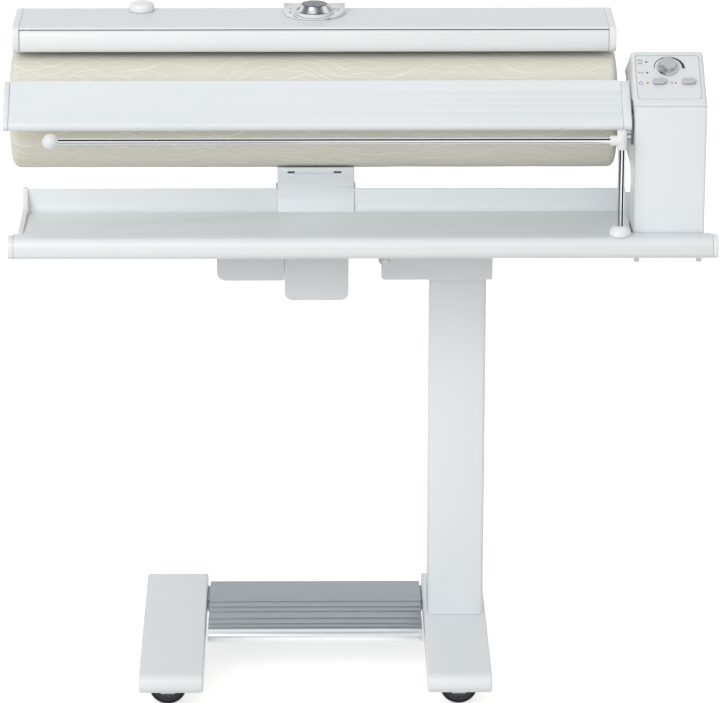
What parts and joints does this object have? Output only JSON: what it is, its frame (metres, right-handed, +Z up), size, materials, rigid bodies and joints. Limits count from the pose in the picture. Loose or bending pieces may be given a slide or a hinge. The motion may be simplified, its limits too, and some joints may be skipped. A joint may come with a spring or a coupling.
{
  "type": "flatwork ironer",
  "caption": "Home rotary ironer on a folding wheeled stand: padded roller, heated plate above it, feed board, laundry tray, side console and foot pedal.",
  "frame": {"origin": "on the floor, at the middle of the overall width and depth", "axes": "+X along the roller towards the console, +Y to the rear, away from the person ironing, +Z up"},
  "size_m": [0.967, 0.398, 0.9823],
  "materials": {
    "white_metal": "white powder coat",
    "white_plastic": "white satin plastic",
    "grey_metal": "light grey powder coat",
    "aluminium": "brushed aluminium",
    "chrome": "polished chrome",
    "steel": "bare steel",
    "rubber": "black rubber tread",
    "dark_plastic": "dark grey plastic",
    "button_grey": "grey satin plastic",
    "cloth": "cream cotton cloth over padding",
    "board": "green circuit board"
  },
  "bodies": {
    "stand": {"left_foot_beam": "white_metal", "right_foot_beam": "white_metal", "base_cross_bar": "aluminium", "pedal_hinge_rod": "steel", "pedal_switch": "dark_plastic", "pedal_spring": "steel", "column": "white_metal", "head_bracket": "grey_metal", "fold_pin": "white_metal"},
    "pedal": {"foot_pedal": "aluminium"},
    "front_left_wheel": {"wheel_front_left": "rubber"},
    "front_right_wheel": {"wheel_front_right": "rubber"},
    "rear_left_wheel": {"wheel_rear_left": "rubber"},
    "rear_right_wheel": {"wheel_rear_right": "rubber"},
    "latch": {"fold_latch": "grey_metal"},
    "upper_unit": {"carrier_beam": "grey_metal", "tray": "white_metal", "tray_left_cap": "white_plastic", "tray_right_cap": "white_plastic", "under_box_left": "grey_metal", "under_box_right": "grey_metal", "plate_motor": "steel", "arm_cover": "white_metal", "press_arm_pin": "steel", "console_shell": "white_metal", "console_fascia": "white_plastic", "fascia_panel": "white_plastic", "control_board": "board", "roller_motor": "steel", "roller_gearbox": "dark_plastic", "roller_bearing": "steel", "mains_gland": "dark_plastic", "feed_board": "white_metal", "feed_board_cap_left": "white_plastic", "feed_board_cap_right": "white_plastic", "feed_board_bracket": "chrome", "pole_base": "white_plastic", "pole_post": "chrome"},
    "dial": {"speed_dial": "aluminium"},
    "left_button": {"button_left": "button_grey"},
    "right_button": {"button_right": "button_grey"},
    "roller": {"roller_core": "steel", "roller_cover": "cloth", "roller_shaft": "steel"},
    "heater": {"press_arm": "grey_metal", "heater_plate": "aluminium", "heating_element": "steel", "heater_cover": "white_metal", "heater_cap_left": "white_plastic", "heater_cap_right": "white_plastic", "steam_tank": "white_plastic", "scale_plate": "white_plastic", "thermostat": "dark_plastic"},
    "guard": {"finger_guard": "white_plastic"},
    "knob": {"temperature_knob": "aluminium"},
    "filler": {"filler_cap": "white_plastic"},
    "pole": {"pole_elbow": "white_plastic", "pole_rod": "chrome", "pole_ball": "white_plastic"},
    "crank": {"plate_crank": "steel"}
  },
  "joints": [
    {"name": "pedal_press", "type": "hinge", "parent": "stand", "child": "pedal", "pos_m": [0, 0.117, 0.058], "axis": [1, 0, 0], "range_deg": [0, 5], "stiffness_Nm_per_rad": 8, "springref_deg": -5.73},
    {"name": "latch_turn", "type": "hinge", "parent": "stand", "child": "latch", "pos_m": [0.165, 0.1005, 0.606], "axis": [0, -1, 0], "range_deg": [0, 32]},
    {"name": "front_left_wheel_spin", "type": "hinge", "parent": "stand", "child": "front_left_wheel", "pos_m": [-0.271, -0.114, 0.0265], "axis": [0, 1, 0], "continuous": true},
    {"name": "front_right_wheel_spin", "type": "hinge", "parent": "stand", "child": "front_right_wheel", "pos_m": [0.141, -0.114, 0.0265], "axis": [0, 1, 0], "continuous": true},
    {"name": "rear_left_wheel_spin", "type": "hinge", "parent": "stand", "child": "rear_left_wheel", "pos_m": [-0.271, 0.137, 0.0265], "axis": [0, 1, 0], "continuous": true},
    {"name": "rear_right_wheel_spin", "type": "hinge", "parent": "stand", "child": "rear_right_wheel", "pos_m": [0.141, 0.137, 0.0265], "axis": [0, 1, 0], "continuous": true},
    {"name": "fold", "type": "hinge", "parent": "stand", "child": "upper_unit", "pos_m": [0.037, -0.003, 0.621], "axis": [0, -1, 0], "range_deg": [0, 90]},
    {"name": "speed_dial_turn", "type": "hinge", "parent": "upper_unit", "child": "dial", "pos_m": [0.41645, -0.10244, 0.92311], "axis": [0, -0.5015, 0.8652], "range_deg": [-135, 135]},
    {"name": "button_left_press", "type": "slide", "parent": "upper_unit", "child": "left_button", "axis": [0, 0.5015, -0.8652], "range_m": [0, 0.002], "stiffness_N_per_m": 300, "springref_m": -0.002},
    {"name": "button_right_press", "type": "slide", "parent": "upper_unit", "child": "right_button", "axis": [0, 0.5015, -0.8652], "range_m": [0, 0.002], "stiffness_N_per_m": 300, "springref_m": -0.002},
    {"name": "roller_spin", "type": "hinge", "parent": "upper_unit", "child": "roller", "pos_m": [0, -0.003, 0.842], "axis": [-1, 0, 0], "continuous": true},
    {"name": "heater_lift", "type": "hinge", "parent": "upper_unit", "child": "heater", "pos_m": [0, 0.097, 0.7], "axis": [1, 0, 0], "range_deg": [0, 5]},
    {"name": "guard_tilt", "type": "hinge", "parent": "heater", "child": "guard", "pos_m": [-0.064, -0.037, 0.961], "axis": [-1, 0, 0], "range_deg": [0, 12]},
    {"name": "temperature_turn", "type": "hinge", "parent": "heater", "child": "knob", "pos_m": [-0.062, 0.027, 0.972], "axis": [0, 0, 1], "range_deg": [0, 270]},
    {"name": "filler_turn", "type": "hinge", "parent": "heater", "child": "filler", "pos_m": [-0.301, 0.057, 0.966], "axis": [0, 0, 1], "range_deg": [0, 90]},
    {"name": "pole_swing", "type": "hinge", "parent": "upper_unit", "child": "pole", "pos_m": [0.351, -0.179, 0.8425], "axis": [0, 0, 1], "range_deg": [0, 100]},
    {"name": "crank_turn", "type": "hinge", "parent": "upper_unit", "child": "crank", "pos_m": [-0.07, 0.04514, 0.6256], "axis": [1, 0, 0], "range_deg": [0, 180.5]}
  ],
  "couplings": [
    {"joint": "crank_turn", "follows": "heater_lift", "ratio": 36}
  ]
}
